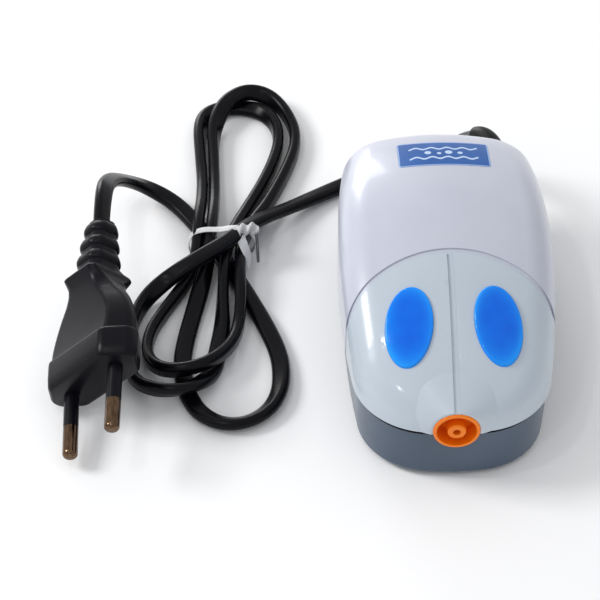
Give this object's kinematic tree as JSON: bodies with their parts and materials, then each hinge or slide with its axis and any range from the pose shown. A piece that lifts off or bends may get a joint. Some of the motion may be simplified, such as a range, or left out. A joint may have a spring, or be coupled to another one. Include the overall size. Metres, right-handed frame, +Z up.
{
  "type": "aquarium air pump",
  "caption": "Aquarium air pump with a domed mouse-shaped casing on a dark tub, orange air outlet, blue oval inserts, twist-tied mains cord and two-pin plug.",
  "frame": {"origin": "on the surface the pump stands on, under the middle of the casing's box, cord and plug left out", "axes": "+Z up, -Y towards the nose with the air outlet, +X to the right seen from the nose's side looking at the pump's top"},
  "size_m": [0.1325, 0.1523, 0.044],
  "materials": {
    "pearl_plastic": "gloss",
    "slate_plastic": "gloss",
    "blue_plastic": "gloss",
    "label_blue": "satin",
    "orange_plastic": "gloss",
    "black_rubber": "satin",
    "cord_black": "satin",
    "plug_black": "satin",
    "tie_clear": "satin",
    "steel": "satin",
    "pin_nickel": "gloss",
    "core_steel": "satin",
    "bobbin_white": "matte",
    "copper": "gloss",
    "magnet_black": "matte",
    "arm_white": "matte",
    "valve_grey": "matte",
    "felt": "matte",
    "hose_clear": "satin",
    "wire_jacket": "matte"
  },
  "bodies": {
    "root": {"top_cover": "pearl_plastic", "base_tub": "slate_plastic", "left_eye_insert": "blue_plastic", "right_eye_insert": "blue_plastic", "label_plate": "label_blue", "nose_outlet": "orange_plastic", "case_screws": "steel", "rubber_feet": "black_rubber", "intake_filter": "felt", "filter_grille": "slate_plastic", "core_laminations": "core_steel", "coil_bobbin": "bobbin_white", "coil_winding": "copper", "core_screws": "steel", "pivot_bracket": "bobbin_white", "arm_pivot_pin": "steel", "valve_body": "valve_grey", "valve_gasket": "black_rubber", "plenum_box": "valve_grey", "diaphragm": "black_rubber", "diaphragm_ring": "valve_grey", "block_screws": "steel", "outlet_hose": "hose_clear", "cord_clamp": "bobbin_white", "clamp_screws": "steel", "cord_inside": "cord_black", "coil_leads": "wire_jacket", "cord_boot": "black_rubber", "cord_lead": "cord_black", "cord_hank": "cord_black", "cord_tail": "cord_black", "twist_tie": "tie_clear", "plug_body": "plug_black", "pin_sleeves": "plug_black", "plug_pins": "pin_nickel", "plug_boot": "plug_black"},
    "arm": {"swing_arm": "arm_white", "magnet_yoke": "steel", "arm_magnets": "magnet_black", "diaphragm_washers": "steel", "diaphragm_screw": "steel"},
    "inlet_valve": {"inlet_flap": "black_rubber"},
    "outlet_valve": {"outlet_flap": "black_rubber"}
  },
  "joints": [
    {"name": "arm_swing", "type": "hinge", "parent": "root", "child": "arm", "pos_m": [0, -0.0175, 0.015], "axis": [0, 0, 1], "range_deg": [-2, 2], "stiffness_Nm_per_rad": 0.2, "deforming": ["diaphragm"]},
    {"name": "inlet_flap_lift", "type": "hinge", "parent": "root", "child": "inlet_valve", "pos_m": [-0.01397, -0.004, 0.0162], "axis": [0, 1, 0], "range_deg": [0, 8], "stiffness_Nm_per_rad": 0.0005},
    {"name": "outlet_flap_lift", "type": "hinge", "parent": "root", "child": "outlet_valve", "pos_m": [-0.01603, -0.004, 0.0138], "axis": [0, 1, 0], "range_deg": [0, 8], "stiffness_Nm_per_rad": 0.0005}
  ]
}
